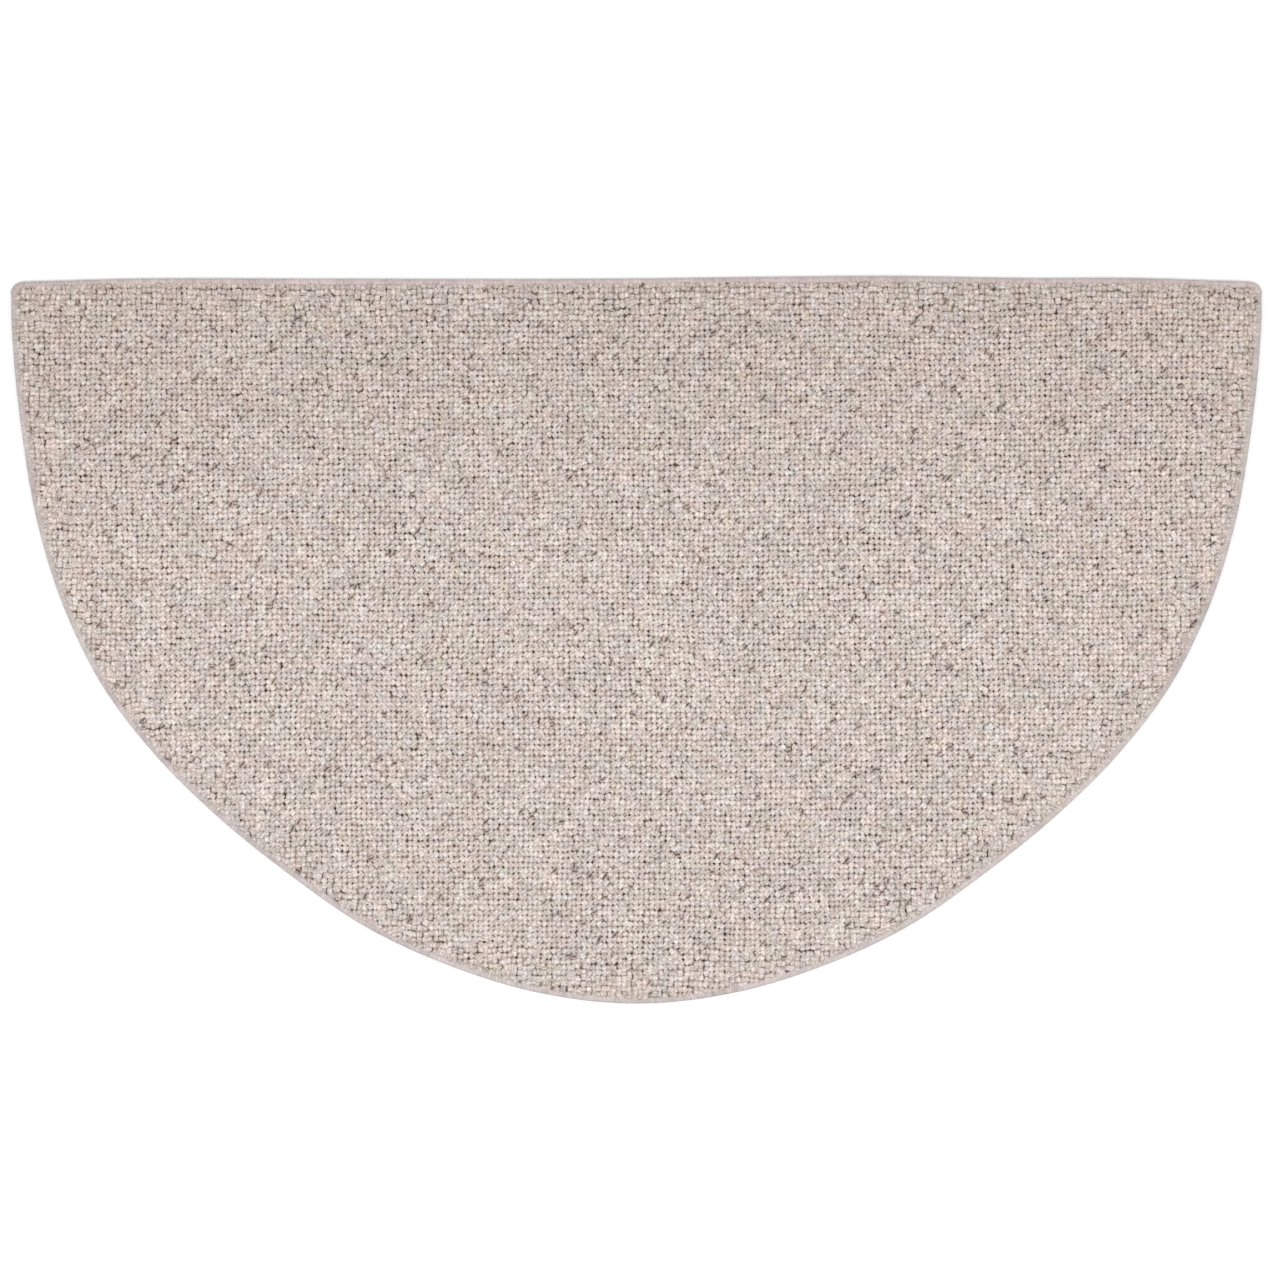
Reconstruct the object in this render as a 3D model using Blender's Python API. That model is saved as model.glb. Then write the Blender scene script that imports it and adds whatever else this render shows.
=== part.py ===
"""Half moon rug: loop-pile carpet cut to a half moon, its raw edge overcast with yarn.

Metres, +Z up.  The origin is on the floor under the middle of the rug's box, +X runs along the
straight edge, and the straight edge lies on the +Y side.
"""

import bmesh
import bpy
import numpy as np

# Size of the rug from above, over its serging: its width is twice the curved edge's reach at the
# sides, 1.200 in all.
RUG_DEPTH = 0.698
CORNER_REACH = 0.011

# Heights above the floor: the pile, and the carpet's edge where the serging presses it.
PILE_TOP = 0.0090
EDGE_TOP = 0.0062
EDGE_BOTTOM = 0.0014

# Serging: the yarn wound round the raw edge, seen as one bead with a groove for the carpet.
SERGING_WIDTH = 0.0062
SERGING_TOP = 0.0077
SERGING_NOSE = 0.0024
LIP_DROP = 0.0004
YARN_OVER_RIM = 0.0012
GAP = 0.0003

# The curved edge: angle round from the straight edge's end in degrees, and reach from the
# straight edge's middle.  It is widest a little below the corner, and the other half mirrors it.
CURVED_EDGE = (
    (0.0, 0.5988),
    (3.0, 0.6008),
    (7.5, 0.6027),
    (15.0, 0.6094),
    (22.5, 0.6218),
    (30.0, 0.6346),
    (37.5, 0.6457),
    (45.0, 0.6514),
    (52.5, 0.6562),
    (60.0, 0.6637),
    (67.5, 0.6763),
    (75.0, 0.6857),
    (82.5, 0.6942),
    (90.0, 0.6980),
)

# The straight edge is cut by hand and bows a little: place along it, and how far it falls short
# of its furthest point.
STRAIGHT_EDGE = (
    (-0.600, 0.0056),
    (-0.560, 0.0046),
    (-0.500, 0.0029),
    (-0.300, 0.0026),
    (-0.100, 0.0029),
    (0.020, 0.0022),
    (0.100, 0.0011),
    (0.250, 0.0000),
    (0.370, 0.0019),
    (0.480, 0.0020),
    (0.560, 0.0044),
    (0.600, 0.0057),
)

# The pile's rounded shoulder beside the serging: step inwards, and share of the pile's rise.
PILE_SHOULDER = (
    (0.0002, 0.55),
    (0.0005, 0.30),
    (0.0009, 0.15),
)
BACK_BEVEL = 0.0004

# How finely the edges and the serging's nose are followed.
CURVED_STEPS = 108
STRAIGHT_STEPS = 24
CORNER_STEPS = 6
NOSE_STEPS = 8

WELD_DISTANCE = 0.00001
FACING = 0.9

CARPET_COLOUR = (0.584, 0.503, 0.462, 1.0)
CARPET_ROUGHNESS = 0.95
SERGING_COLOUR = (0.571, 0.491, 0.479, 1.0)
SERGING_ROUGHNESS = 0.80


def clear_scene():
    for item in list(bpy.data.objects):
        bpy.data.objects.remove(item, do_unlink=True)


def make_collection(name):
    collection = bpy.data.collections.new(name)
    bpy.context.scene.collection.children.link(collection)
    return collection


def make_material(name, colour, roughness):
    material = bpy.data.materials.new(name)
    material.use_nodes = True
    shader = material.node_tree.nodes["Principled BSDF"]
    shader.inputs["Base Color"].default_value = colour
    shader.inputs["Roughness"].default_value = roughness
    shader.inputs["Metallic"].default_value = 0.0
    return material


def through(table, places):
    """Values at the places, on a smooth cubic through the table's rows."""
    stations, values = np.array(table).T
    slopes = np.gradient(values, stations)
    row = np.clip(np.searchsorted(stations, places) - 1, 0, len(stations) - 2)
    span = stations[row + 1] - stations[row]
    u = (places - stations[row]) / span
    start = (2 * u**3 - 3 * u**2 + 1) * values[row] + (u**3 - 2 * u**2 + u) * span * slopes[row]
    end = (3 * u**2 - 2 * u**3) * values[row + 1] + (u**3 - u**2) * span * slopes[row + 1]
    return start + end


def straight_edge():
    """Points along the straight edge, left to right."""
    half_length = CURVED_EDGE[0][1]
    along = np.linspace(-half_length, half_length, STRAIGHT_STEPS + 1)
    return np.column_stack([along, RUG_DEPTH / 2 - through(STRAIGHT_EDGE, along)])


def curved_edge(right_end, left_end):
    """Points round the belly, from the straight edge's right end to its left end."""
    mirrored = tuple((180.0 - angle, reach) for angle, reach in CURVED_EDGE[-2::-1])
    angles = np.linspace(0.0, 180.0, CURVED_STEPS + 1)
    reach = through(CURVED_EDGE + mirrored, angles)
    turn = np.radians(angles)
    points = np.column_stack([reach * np.cos(turn), RUG_DEPTH / 2 - reach * np.sin(turn)])
    points[0] = right_end
    points[-1] = left_end
    return points


def rounded_corner(before, after):
    """A round run from one edge to the next, tangent to both."""
    corner = before[-1]
    arriving = corner - before[-2]
    leaving = after[1] - corner
    start = corner - CORNER_REACH * arriving / np.linalg.norm(arriving)
    end = corner + CORNER_REACH * leaving / np.linalg.norm(leaving)
    u = np.linspace(0.0, 1.0, CORNER_STEPS + 1)[:, None]
    return start * (1 - u) ** 2 + 2 * corner * u * (1 - u) + end * u**2


def rug_outline():
    """The rug's closed outline from above, clockwise."""
    straight = straight_edge()
    curved = curved_edge(straight[-1], straight[0])
    right_corner = rounded_corner(straight, curved)
    left_corner = rounded_corner(curved, straight)
    return np.concatenate([straight[1:-1], right_corner, curved[1:-1], left_corner])


def set_in(outline, distance):
    """The outline moved inwards, each point square to the edge there."""
    along = np.roll(outline, -1, axis=0) - np.roll(outline, 1, axis=0)
    inwards = np.column_stack([along[:, 1], -along[:, 0]])
    return outline + distance * inwards / np.linalg.norm(inwards, axis=1)[:, None]


def serging_section():
    """The bead's section: inwards from the rug's rim, and height.  The groove opens inwards."""
    half = SERGING_TOP / 2
    turn = np.linspace(-np.pi / 2, np.pi / 2, NOSE_STEPS + 1)
    nose = np.column_stack([SERGING_NOSE * (1 - np.cos(turn)), half + half * np.sin(turn)])
    groove_roof = EDGE_TOP + GAP
    groove_floor = EDGE_BOTTOM - GAP
    lips_and_groove = (
        (SERGING_WIDTH, SERGING_TOP - LIP_DROP),
        (SERGING_WIDTH, groove_roof),
        (YARN_OVER_RIM, groove_roof),
        (YARN_OVER_RIM, groove_floor),
        (SERGING_WIDTH, groove_floor),
        (SERGING_WIDTH, 0.0),
    )
    return np.concatenate([nose, lips_and_groove])


def closed_curve(name, points, collection):
    """A flat closed curve through the points."""
    curve = bpy.data.curves.new(name, "CURVE")
    curve.dimensions = "2D"
    spline = curve.splines.new("POLY")
    spline.points.add(len(points) - 1)
    for knot, (x, y) in zip(spline.points, points):
        knot.co = (x, y, 0.0, 1.0)
    spline.use_cyclic_u = True
    item = bpy.data.objects.new(name, curve)
    collection.objects.link(item)
    return item


def mesh_from_curve(curve_object):
    """The curve's solid as a mesh, with its caps welded on and its place applied."""
    bpy.context.view_layer.update()
    depsgraph = bpy.context.evaluated_depsgraph_get()
    mesh = bpy.data.meshes.new_from_object(curve_object.evaluated_get(depsgraph))
    mesh.transform(curve_object.matrix_world)
    bpy.data.objects.remove(curve_object, do_unlink=True)
    bm = bmesh.new()
    bm.from_mesh(mesh)
    bmesh.ops.remove_doubles(bm, verts=bm.verts, dist=WELD_DISTANCE)
    bm.to_mesh(mesh)
    bm.free()
    return mesh


def step_in(bm, flat, thickness, depth):
    """Draw a flat region in by the thickness and lift it off the slab by the depth."""
    bmesh.ops.inset_region(
        bm,
        faces=flat,
        thickness=thickness,
        depth=depth,
        use_boundary=True,
        use_even_offset=True,
    )


def make_carpet(outline, collection, guides):
    """The half moon of carpet: backing and loop pile as one solid, thin where it is serged."""
    edge = closed_curve("carpet_edge", set_in(outline, YARN_OVER_RIM + GAP), guides)
    edge.data.fill_mode = "BOTH"
    edge.data.extrude = (EDGE_TOP - EDGE_BOTTOM) / 2
    edge.location.z = (EDGE_TOP + EDGE_BOTTOM) / 2
    mesh = mesh_from_curve(edge)
    bm = bmesh.new()
    bm.from_mesh(mesh)
    bm.normal_update()
    top = [face for face in bm.faces if face.normal.z > FACING]
    underside = [face for face in bm.faces if face.normal.z < -FACING]
    tongue = SERGING_WIDTH - YARN_OVER_RIM
    step_in(bm, top, tongue, 0.0)
    for inwards, share in PILE_SHOULDER:
        step_in(bm, top, inwards, share * (PILE_TOP - EDGE_TOP))
    step_in(bm, underside, tongue, 0.0)
    step_in(bm, underside, BACK_BEVEL, EDGE_BOTTOM)
    bm.to_mesh(mesh)
    bm.free()
    mesh.name = "carpet"
    carpet = bpy.data.objects.new("carpet", mesh)
    collection.objects.link(carpet)
    mesh.materials.clear()
    mesh.materials.append(make_material("loop_pile", CARPET_COLOUR, CARPET_ROUGHNESS))


def make_serging(outline, collection, guides):
    """The overcast edge: one bead swept round the whole rug."""
    section = closed_curve("serging_section", serging_section(), guides)
    section.hide_render = True
    section.display_type = "WIRE"
    serging = closed_curve("serging", outline, collection)
    serging.data.fill_mode = "NONE"
    serging.data.bevel_mode = "OBJECT"
    serging.data.bevel_object = section
    serging.data.materials.append(make_material("serging_yarn", SERGING_COLOUR, SERGING_ROUGHNESS))


clear_scene()
rug = make_collection("half_moon_rug")
guide_curves = make_collection("guide_curves")
rim = rug_outline()
make_carpet(rim, rug, guide_curves)
make_serging(rim, rug, guide_curves)
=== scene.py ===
"""Looks of the half moon rug: loops of heathered yarn, their backing, and the overcast edge."""

import math

import bmesh
import bpy
import numpy as np
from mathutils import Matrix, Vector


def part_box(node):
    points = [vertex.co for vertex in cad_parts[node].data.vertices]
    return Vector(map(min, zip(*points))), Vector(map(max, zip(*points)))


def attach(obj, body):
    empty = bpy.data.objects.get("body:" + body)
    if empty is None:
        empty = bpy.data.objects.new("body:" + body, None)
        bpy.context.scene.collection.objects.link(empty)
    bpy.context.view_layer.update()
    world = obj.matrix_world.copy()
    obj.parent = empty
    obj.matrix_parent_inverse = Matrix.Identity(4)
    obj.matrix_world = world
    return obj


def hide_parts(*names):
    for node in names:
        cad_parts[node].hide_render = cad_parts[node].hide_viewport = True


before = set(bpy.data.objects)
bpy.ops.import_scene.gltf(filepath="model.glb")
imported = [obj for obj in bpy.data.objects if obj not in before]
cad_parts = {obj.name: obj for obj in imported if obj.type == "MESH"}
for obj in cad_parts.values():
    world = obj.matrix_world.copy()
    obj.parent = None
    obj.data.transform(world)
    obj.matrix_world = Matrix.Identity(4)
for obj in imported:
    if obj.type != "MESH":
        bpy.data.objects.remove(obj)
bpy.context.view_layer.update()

# The rug from above, in metres, as the solids have it.
RUG_WIDTH = 1.200
RUG_DEPTH = 0.698
CORNER_REACH = 0.011

# The curved edge: angle round from the straight edge's end in degrees, and reach from the
# straight edge's middle.  The other half mirrors it.
CURVED_EDGE = (
    (0.0, 0.5988),
    (3.0, 0.6008),
    (7.5, 0.6027),
    (15.0, 0.6094),
    (22.5, 0.6218),
    (30.0, 0.6346),
    (37.5, 0.6457),
    (45.0, 0.6514),
    (52.5, 0.6562),
    (60.0, 0.6637),
    (67.5, 0.6763),
    (75.0, 0.6857),
    (82.5, 0.6942),
    (90.0, 0.6980),
)

# The straight edge's bow: place along it, and how far it falls short of its furthest point.
STRAIGHT_EDGE = (
    (-0.600, 0.0056),
    (-0.560, 0.0046),
    (-0.500, 0.0029),
    (-0.300, 0.0026),
    (-0.100, 0.0029),
    (0.020, 0.0022),
    (0.100, 0.0011),
    (0.250, 0.0000),
    (0.370, 0.0019),
    (0.480, 0.0020),
    (0.560, 0.0044),
    (0.600, 0.0057),
)

# Steps along each edge and round each corner.  The edges' own points stay a little further from
# a corner than its rounding reaches.
CURVED_STEPS = 216
STRAIGHT_STEPS = 60
CORNER_STEPS = 10
CORNER_CLEARANCE = 1.02

# The pile: loops in straight rows, a needle's gauge apart one way and a stitch apart the other.
# It starts inside the backing and reaches out over the serging's inner lip.
NEEDLE_GAUGE = 0.00482
STITCH = 0.00516
LOOP_COLUMNS = 253
LOOP_ROWS = 139
LOOP_BASE = 0.0030
LOOP_HEIGHT = 0.0058
PILE_RIM = 0.0042

# A loop in quarters: its foot's corner, its shoulder's two corners either side of the diagonal,
# and its top's ends on the two axes, each with its height.
LOOP_FOOT = (0.0022, 0.0024, 0.0)
LOOP_SHOULDER = ((0.0032, 0.0004, 0.0047), (0.0004, 0.0034, 0.0047))
LOOP_TOP = ((0.0021, 0.00545), (0.0023, 0.00545))

# How far from the middle of a loop's own map its foot, shoulder and top lie.
LOOP_MAP_REACH = (0.46, 0.30, 0.15)

# The pile is made in bands, each from one depth below the straight edge to the next.  A row on
# the line between two bands goes with the band nearer the straight edge.
BAND_DEPTHS = (-0.010, 0.118, 0.235, 0.360, 0.500, 0.710)
ON_THE_LINE = 0.000001

# Loops stand astray near the pile's rim and straight further in, and are pressed at the rim, where
# they also get painted shade.
# Here and below, four numbers say how a value changes: while one measure goes from the first to
# the second, the value goes from the third to the fourth.
ASTRAY = (0.004, 0.055, 1.0, 0.0)
PRESSED = (0.001, 0.014, 0.84, 1.0)
RIM_LIGHT = (0.0042, 0.0100, 0.900, 1.0)
ASTRAY_TURN = math.pi / 3
FLECKED_ASTRAY = 0.8
RIM_CROWDING = 0.0024

# How far above the pile's outline the tree looks down, to find the loops that stand inside it.
LOOK_DOWN_FROM = 0.1

# How loosely the loops stand.  A pair of numbers is a drift's scale and strength.
ROW_BOW = (4.0, 0.012)
ROW_RIPPLE = (70.0, 0.0024)
ASTRAY_RIPPLE = 0.0036
LOOP_JITTER = (0.0008, 0.0008, 0.0)
PILE_LAY = (22.0, 0.6)
LOOP_LEAN = (0.12, 0.12, 0.25)
LENGTHWISE_SHARE = 0.62
FULLNESS = (45.0, 0.25)
MEAN_FULLNESS = 1.01
LOOP_SIZES = ((0.96, 0.96, 0.92), (1.10, 1.10, 1.06))
YARN_LUMPS = (420.0, 0.0009)

# Each band's first seed, and what each further draw adds to it.
BAND_SEEDS = 100
LEAN_SEED = 11.0
CROSSWISE_SEED = 23.0
ASTRAY_SEED = 29.0
LOOP_SIZE_SEED = 37.0
LOOP_SHADE_SEED = 51.0

# One turn of serging yarn: inwards from the rim, and height of the yarn's middle.
WRAP_PATH = (
    (0.0066, 0.0062),
    (0.0054, 0.0068),
    (0.0036, 0.0071),
    (0.0019, 0.0069),
    (0.0008, 0.0059),
    (0.0006, 0.0040),
    (0.0009, 0.0021),
    (0.0020, 0.0010),
    (0.0042, 0.0007),
    (0.0064, 0.0009),
)
WRAP_PITCH = 0.0021
WRAP_HALF_WIDTH = 0.00145
WRAP_HALF_THICKNESS = 0.0006
WRAP_SIDES = 5

# How unlike the turns are: how far each is turned and its size changes either way, the drift of
# their reach, their first seed and what each further draw adds to it.
WRAP_NUDGE = (0.02, 0.02, 0.045)
WRAP_SIZES = (0.03, 0.08, 0.03)
WRAP_REACH = (14.0, 0.5)
WRAP_SEED = 5
WRAP_SIZE_SEED = 7.0
WRAP_SHADE_SEED = 19.0

# The run of a turn's fibres is kept in millimetres.
MILLIMETRES = 1000.0

# The map of one turn: margin and span across and along it, and its two ends' middles and reach.
WRAP_MAP_ACROSS = (0.04, 0.92)
WRAP_MAP_ALONG = (0.08, 0.84)
WRAP_MAP_ENDS = ((0.10, 0.04), (0.10, 0.96))
WRAP_MAP_END_REACH = 0.03

# The backing under the loops, from its top inwards of the serging round to its underside, and
# how far from its middle each inner ring of its top and underside lies.
BACKING_ROWS = (
    (0.0074, 0.0046),
    (0.0062, 0.0050),
    (0.0054, 0.0058),
    (0.0018, 0.0056),
    (0.0018, 0.0022),
    (0.0042, 0.0022),
    (0.0054, 0.0004),
)
BACKING_MIDDLE = (0.0, 0.06)
BACKING_RINGS = (0.75, 0.50, 0.25)

# A face of the backing whose normal points down further than this is woven underside.
FACING_DOWN = -0.5

# Yarn shades of the pile: share of the loops up to here, then red, green and blue.
YARN_SHADES = (
    (0.000, 0.451, 0.389, 0.355),
    (0.200, 0.505, 0.443, 0.403),
    (0.500, 0.549, 0.485, 0.446),
    (0.800, 0.599, 0.533, 0.493),
    (1.000, 0.689, 0.625, 0.583),
)

# A loop's two plies: the second ply's draw from the first's and its share, the twist's slant
# across the loop, its turn in radians a metre, and what a loop's shade and a noise add to it.
SECOND_DRAW = 17.37
SECOND_SHARE = 0.5
TWIST_SLANT = 0.75
TWIST = 1400.0
TWIST_SHIFT = 60.0
TWIST_NOISE = (260.0, 2.0)
TWIST_WANDER = 5.0

# How the plies swell along the loop: turn in radians a metre, shift, strength and mean.
SWELL = 1500.0
SWELL_SHIFT = 91.0
SWELL_STRENGTH = 0.25
SWELL_MEAN = 0.75

# A ply's light and dark, partly its own and partly painted light and shade on its twists, and a
# painted highlight on the crown: less red where it is lighter.
PLY_SHADED = (0.750, 0.732, 0.718, 1.0)
PLY_LIT = (1.180, 1.198, 1.206, 1.0)
CROWN_HIGHLIGHT = (1.140, 1.156, 1.164, 1.0)
CROWN = (0.0053, 0.0058, 0.0, 1.0)

# Flecks: one ply of a few loops is dark, from near black to a reddish brown.  Each is a short
# stripe along the twist, shortened by its loop's second draw: the draw's share, and what is added.
FLECK_SHARE = 0.016
FLECK_DARK = (0.080, 0.058, 0.051, 1.0)
FLECK_RUSSET = (0.215, 0.138, 0.110, 1.0)
FLECK_WIDTH = (0.0006, 0.0019, 1.0, 0.0)
FLECK_LENGTH = (0.0016, 0.0028, 1.0, 0.0)
FLECK_SHORTENING = (0.9, 0.9)

# Soft patches of tone: each noise's scale, detail and roughness, and the tones it goes between.
PATCH_EDGES = (0.35, 0.65, 0.0, 1.0)
PATCH_NOISE = (62.0, 3.0, 0.62)
LILAC = (0.984, 0.986, 1.027, 1.0)
WARM = (1.016, 0.996, 0.967, 1.0)
BLUSH_NOISE = (44.0, 4.0, 0.66)
GREEN = (0.975, 1.010, 0.999, 1.0)
PINK = (1.026, 0.984, 0.990, 1.0)
CLOUD_NOISE = (40.0, 3.0)
CLOUD_LIGHT = (0.30, 0.70, 0.957, 1.043)

# Painted shade on the pile: darker towards the straight edge, towards the curved edge and towards
# both sides.
FAR_SIDE = (0.05, 0.36, 0.0, 1.0)
FAR_SIDE_SHADE = (0.930, 0.912, 0.900, 1.0)
NEAR_SIDE = (-0.36, -0.14, 1.0, 0.0)
NEAR_SIDE_SHADE = (0.985, 0.985, 0.990, 1.0)
ASIDE = (0.30, 0.62, 0.0, 1.0)
ASIDE_SHADE = (0.995, 0.980, 0.972, 1.0)

# Painted shade in the hollows between loops: how far down it darkens the yarn, which hollows are
# light, and its darkest and lightest tones on the yarn and on the ground.
HOLLOW_SHADE_DEPTH = (0.0029, 0.0048, 1.0, 0.0)
HOLLOW_NOISE = (240.0, 0.0)
HOLLOW_GROUP_NOISE = (55.0, 1.0)
HOLLOW_GROUPING = 0.9
HOLLOW_LIGHT = (0.365, 0.565, 0.0, 1.0)
DARKEST_HOLLOW_SHADE = (0.60, 0.475, 0.385, 1.0)
LIGHTEST_HOLLOW_SHADE = (1.02, 0.99, 0.965, 1.0)
DARKEST_GROUND_SHADE = (0.130, 0.085, 0.059, 1.0)
LIGHTEST_GROUND_SHADE = (0.84, 0.71, 0.61, 1.0)

# Serging yarn: mauve taupe, its tone wandering round the rug and from turn to turn.
SERGING_DARK = (0.357, 0.313, 0.307, 1.0)
SERGING_LIGHT = (0.557, 0.494, 0.479, 1.0)
SERGING_NOISE = (18.0, 2.0)
SERGING_WANDER = 1.1
TURN_WANDER = 0.25
SERGING_BLUSH_NOISE = (33.0, 1.0)
MAUVE = (1.010, 0.982, 1.008, 1.0)
BEIGE = (1.000, 1.008, 0.975, 1.0)
MOTTLE_NOISE = (190.0, 2.0)
MOTTLE_LIGHT = (0.30, 0.70, 0.90, 1.10)

# Painted shade makes the serging's flank darker than its top, most of all on the curved edge.  The
# serging is a little redder along the straight edge; painted light makes it a little lighter along
# the curved one, and painted shade a little darker at both sides.
FLANK = (0.0055, 0.0076, 1.0, 0.0)
FLANK_SHADE = (0.740, 0.790, 0.790, 1.0)
CURVED_SIDE = (-0.34, -0.10, 1.0, 0.0)
CURVED_FLANK_SHADE = (0.560, 0.595, 0.600, 1.0)
CURVED_SIDE_LIGHT = 0.05
STRAIGHT_SIDE = (0.325, 0.343, 0.0, 1.0)
STRAIGHT_SIDE_TONE = (1.040, 0.990, 0.988, 1.0)
END_LIGHT = (0.40, 0.60, 1.0, 0.965)

# The relief of the yarns and the scrim: noises, and each one's strength and height in metres.
PILE_FIBRE_NOISE = (1900.0, 2.0)
PILE_FIBRE_SHARE = 0.5
PILE_RELIEF = (0.6, 0.0004)
SERGING_FIBRE_STRETCH = (250.0, 3.0, 1.0)
SERGING_FIBRE_SHIFT = 40.0
SERGING_FIBRE_NOISE = (2.0, 2.0)
SERGING_RELIEF = (0.4, 0.0002)
SCRIM_RELIEF = (0.8, 0.0004)

# The underside: an open scrim of jute over latex, its threads' spacing along X and Y.
LATEX = (0.47, 0.425, 0.36, 1.0)
JUTE = (0.36, 0.262, 0.163, 1.0)
SCRIM_SPACING = (0.0032, 0.0040)
SCRIM_THREAD = (0.1, 0.7, 0.0, 1.0)

# How dull the cloth is: roughness and sheen of each material, and what they share.
PILE_DULLNESS = (0.95, 0.15)
SERGING_DULLNESS = (0.85, 0.2)
GROUND_DULLNESS = (1.0, 0.0)
SCRIM_DULLNESS = (0.9, 0.0)
CLOTH_SPECULAR = 0.15
SHEEN_ROUGHNESS = 0.6

# The photograph's frame: its side in pixels, and where the rug lies in it.
FRAME_SIDE = 1280
RUG_LEFT = 10.2
RUG_RIGHT = 1262.6
RUG_TOP = 275.7
METRES_PER_PIXEL = RUG_WIDTH / (RUG_RIGHT - RUG_LEFT)
CAMERA_LENS = 100.0
CAMERA_SENSOR = 36.0

# The studio: a white sky, two lamps and a floor.
SKY_STRENGTH = 0.785
WHITE = (1.0, 1.0, 1.0, 1.0)
LAMPS = (("left_lamp", (-1.15, -0.28, 1.9)), ("right_lamp", (1.15, -0.28, 1.9)))
LAMP_SIZE = 1.2
LAMP_POWER = 18.0
FLOOR_REACH = 20.0
FLOOR_HEIGHT = -0.0002
FLOOR_COLOUR = (0.95, 0.95, 0.95, 1.0)
FLOOR_ROUGHNESS = 0.9
FLOOR_SPECULAR = 0.1


def fill(tree, socket, value):
    """Links a socket's value, or sets a plain one."""
    if isinstance(value, bpy.types.NodeSocket):
        tree.links.new(value, socket)
    else:
        socket.default_value = value


def put(tree, kind, inputs=None, **settings):
    """A new node with its settings made and its inputs filled."""
    node = tree.nodes.new(kind)
    for name, value in settings.items():
        setattr(node, name, value)
    for key, value in (inputs or {}).items():
        fill(tree, node.inputs[key], value)
    return node


def reckon(tree, operation, *values, kind="ShaderNodeMath"):
    """A number worked out from others."""
    return put(tree, kind, dict(enumerate(values)), operation=operation).outputs[0]


def vector_reckon(tree, operation, *values):
    """A vector worked out from others."""
    return reckon(tree, operation, *values, kind="ShaderNodeVectorMath")


def scaled(tree, vector, share):
    """A vector or colour with all its parts multiplied by a share."""
    node = put(tree, "ShaderNodeVectorMath", {0: vector, "Scale": share}, operation="SCALE")
    return node.outputs[0]


def parts(tree, vector):
    """A vector's X, Y and Z."""
    return put(tree, "ShaderNodeSeparateXYZ", {0: vector}).outputs


def joined(tree, x=0.0, y=0.0, z=0.0):
    """A vector from its X, Y and Z."""
    return put(tree, "ShaderNodeCombineXYZ", {0: x, 1: y, 2: z}).outputs[0]


def flattened(tree, vector):
    """A vector with no Z."""
    return vector_reckon(tree, "MULTIPLY", vector, (1.0, 1.0, 0.0))


def ranged(tree, value, low, high, at_low, at_high):
    """The value carried from one range to another, eased at both ends."""
    inputs = {"Value": value, 1: low, 2: high, 3: at_low, 4: at_high}
    node = put(tree, "ShaderNodeMapRange", inputs, interpolation_type="SMOOTHSTEP")
    return node.outputs[0]


def noise(tree, place, scale, detail, roughness=0.5):
    """A smooth noise at the place, as a number and as a colour."""
    inputs = {"Vector": place, "Scale": scale, "Detail": detail, "Roughness": roughness}
    return put(tree, "ShaderNodeTexNoise", inputs).outputs


def drift(tree, place, scale, strength, detail=1.0):
    """A smooth vector that wanders with the place, by about half its strength either way."""
    wander = noise(tree, place, scale, detail)["Color"]
    return scaled(tree, vector_reckon(tree, "SUBTRACT", wander, (0.5, 0.5, 0.5)), strength)


def drawn_number(tree, low, high, seed):
    """A number drawn for each point."""
    node = put(tree, "FunctionNodeRandomValue", {2: low, 3: high, "Seed": seed})
    return node.outputs[1]


def drawn_vector(tree, low, high, seed):
    """A vector drawn for each point."""
    inputs = {0: low, 1: high, "Seed": seed}
    node = put(tree, "FunctionNodeRandomValue", inputs, data_type="FLOAT_VECTOR")
    return node.outputs[0]


def drawn_either_way(tree, reach, seed):
    """A vector drawn for each point, up to the reach either way."""
    return drawn_vector(tree, tuple(-part for part in reach), reach, seed)


def further_seed(tree, given, step):
    """The seed given to the tree with the step added, for one more draw."""
    return reckon(tree, "ADD", given["Seed"], step)


def new_tree(name, inputs):
    """An empty Geometry Nodes tree with named inputs; returns it and its input node."""
    tree = bpy.data.node_groups.new(name, "GeometryNodeTree")
    tree.interface.new_socket("Geometry", in_out="INPUT", socket_type="NodeSocketGeometry")
    for label, kind in inputs:
        tree.interface.new_socket(label, in_out="INPUT", socket_type="NodeSocket" + kind)
    tree.interface.new_socket("Geometry", in_out="OUTPUT", socket_type="NodeSocketGeometry")
    return tree, tree.nodes.new("NodeGroupInput").outputs


def end_tree(tree, geometry, material, lumps=(0.0, 0.0, 0.0)):
    """Realizes the instances, shifts their points by the lumps and gives them their material."""
    real = put(tree, "GeometryNodeRealizeInstances", {"Geometry": geometry}).outputs[0]
    inputs = {"Geometry": moved(tree, real, lumps), "Material": material}
    clad = put(tree, "GeometryNodeSetMaterial", inputs).outputs[0]
    put(tree, "NodeGroupOutput", {"Geometry": clad})


def keep_number(tree, geometry, name, value):
    """Keeps a number on each instance, under a name that the materials read."""
    inputs = {"Geometry": geometry, "Name": name, "Value": value}
    node = put(tree, "GeometryNodeStoreNamedAttribute", inputs, domain="INSTANCE")
    return node.outputs[0]


def moved(tree, geometry, offset):
    """The geometry with its points shifted by the offset."""
    inputs = {"Geometry": geometry, "Offset": offset}
    return put(tree, "GeometryNodeSetPosition", inputs).outputs[0]


def without(tree, geometry, unwanted):
    """The points left once the unwanted ones are deleted."""
    inputs = {"Geometry": geometry, "Selection": unwanted}
    return put(tree, "GeometryNodeDeleteGeometry", inputs).outputs[0]


def shape_of(tree, item):
    """The shape of an object that is given to the tree."""
    return put(tree, "GeometryNodeObjectInfo", {"Object": item}).outputs["Geometry"]


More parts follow.
